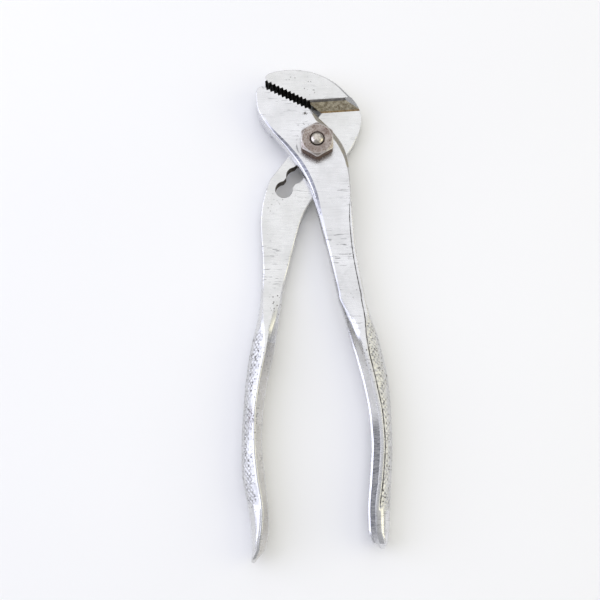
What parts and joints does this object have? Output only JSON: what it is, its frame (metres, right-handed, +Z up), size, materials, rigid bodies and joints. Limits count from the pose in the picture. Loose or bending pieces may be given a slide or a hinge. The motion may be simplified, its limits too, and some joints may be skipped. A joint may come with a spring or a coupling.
{
  "type": "slip-joint pliers",
  "caption": "Multi-position slip-joint pliers with angled toothed jaws, a nutted pivot bolt in a scalloped slot and knurled bowed grips.",
  "frame": {"origin": "on the pivot axis, at the plane the tool rests on, with the bolt in the first slot position", "axes": "+Z up along the pivot axis, out of the nut; +Y from the pivot towards the jaws; +X towards the front half's grip"},
  "size_m": [0.054, 0.1839, 0.0171],
  "materials": {
    "plated_steel_rear": "worn bright plating over forged steel, ground flat faces",
    "plated_steel_front": "worn bright plating over forged steel, ground flat faces",
    "bolt_steel": "bare steel, peened end polished by handling",
    "nut_steel": "tarnished plating with brown rust on the flats"
  },
  "bodies": {
    "rear_half": {"rear_half": "plated_steel_rear"},
    "pivot": {"pivot_bolt": "bolt_steel", "hex_nut": "nut_steel"},
    "front_half": {"front_half": "plated_steel_front"}
  },
  "joints": [
    {"name": "slot_slip", "type": "slide", "parent": "rear_half", "child": "pivot", "axis": [-0.5948, -0.8039, 0], "range_m": [0, 0.021]},
    {"name": "pivot_hinge", "type": "hinge", "parent": "pivot", "child": "front_half", "pos_m": [0, 0, 0.009], "axis": [0, 0, 1], "range_deg": [-3.5, 50]}
  ]
}
